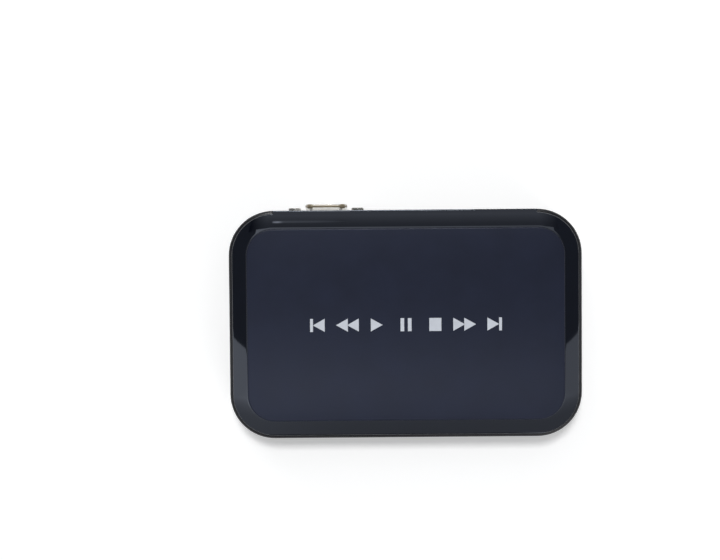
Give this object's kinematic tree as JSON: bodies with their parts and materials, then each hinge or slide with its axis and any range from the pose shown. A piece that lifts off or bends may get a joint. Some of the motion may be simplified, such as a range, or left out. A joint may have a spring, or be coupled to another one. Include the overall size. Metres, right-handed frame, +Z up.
{
  "type": "media player",
  "caption": "Small black media player with rear video sockets and a side tray that slides out with its 2.5-inch hard drive.",
  "frame": {"origin": "under the middle of the whole player, on the surface that its feet stand on", "axes": "+Z up, +X the side that the drive tray leaves by, +Y the rear with the sockets"},
  "size_m": [0.1382, 0.0918, 0.0283],
  "materials": {
    "case_black": "satin black moulded plastic, fine grain",
    "cover_gloss": "piano black moulded plastic",
    "plate_satin": "satin blue-black plastic with a fine grain",
    "panel_black": "matt black plastic",
    "foot_rubber": "matt rubber",
    "screw_black": "black zinc",
    "screw_steel": "zinc plated",
    "board_green": "solder resist",
    "chip_black": "chip resin",
    "sink_aluminium": "anodised",
    "can_aluminium": "cans",
    "choke_grey": "ferrite",
    "window_smoke": "smoked infrared window",
    "receiver_black": "infrared resin",
    "lamp_white": "lamp resin",
    "pipe_clear": "clear acrylic",
    "socket_metal": "nickel plated",
    "video_blue": "insulator",
    "socket_black": "insulator",
    "pin_brass": "plated",
    "drive_aluminium": "die cast",
    "drive_steel": "pressed stainless",
    "tray_steel": "zinc plated sheet",
    "spring_steel": "spring steel"
  },
  "bodies": {
    "case": {"bottom_case": "case_black", "top_cover": "cover_gloss", "top_plate": "plate_satin", "rear_panel": "panel_black", "rubber_feet": "foot_rubber", "case_screws": "screw_black", "main_board": "board_green", "riser_board": "board_green", "processor_chip": "chip_black", "memory_chips": "chip_black", "flash_chip": "chip_black", "heatsink": "sink_aluminium", "capacitors": "can_aluminium", "crystal": "can_aluminium", "inductors": "choke_grey", "front_window": "window_smoke", "infrared_receiver": "receiver_black", "status_lamp": "lamp_white", "light_pipe": "pipe_clear", "video_shell": "socket_metal", "video_jackscrews": "socket_metal", "digital_shell": "socket_metal", "usb_shell": "socket_metal", "video_insulator": "video_blue", "digital_tongue": "socket_black", "round_jacks": "socket_black", "power_jack": "socket_black", "usb_tongue": "socket_black", "sata_socket": "socket_black", "power_pin": "pin_brass"},
    "tray": {"drive_tray": "tray_steel", "tray_bezel": "panel_black", "latch_pin": "screw_steel", "latch_spring": "spring_steel", "drive_casting": "drive_aluminium", "drive_lid": "drive_steel", "drive_board": "board_green", "drive_plug": "socket_black", "drive_screws": "screw_steel"},
    "latch": {"latch_lever": "panel_black"}
  },
  "joints": [
    {"name": "tray_slide", "type": "slide", "parent": "case", "child": "tray", "axis": [1, 0, 0], "range_m": [0, 0.108]},
    {"name": "latch_turn", "type": "hinge", "parent": "tray", "child": "latch", "pos_m": [0.0652, -0.00045, 0.0114], "axis": [0, 1, 0], "range_deg": [0, 10], "stiffness_Nm_per_rad": 0.03, "springref_deg": -8.59, "deforming": ["latch_spring"]}
  ]
}
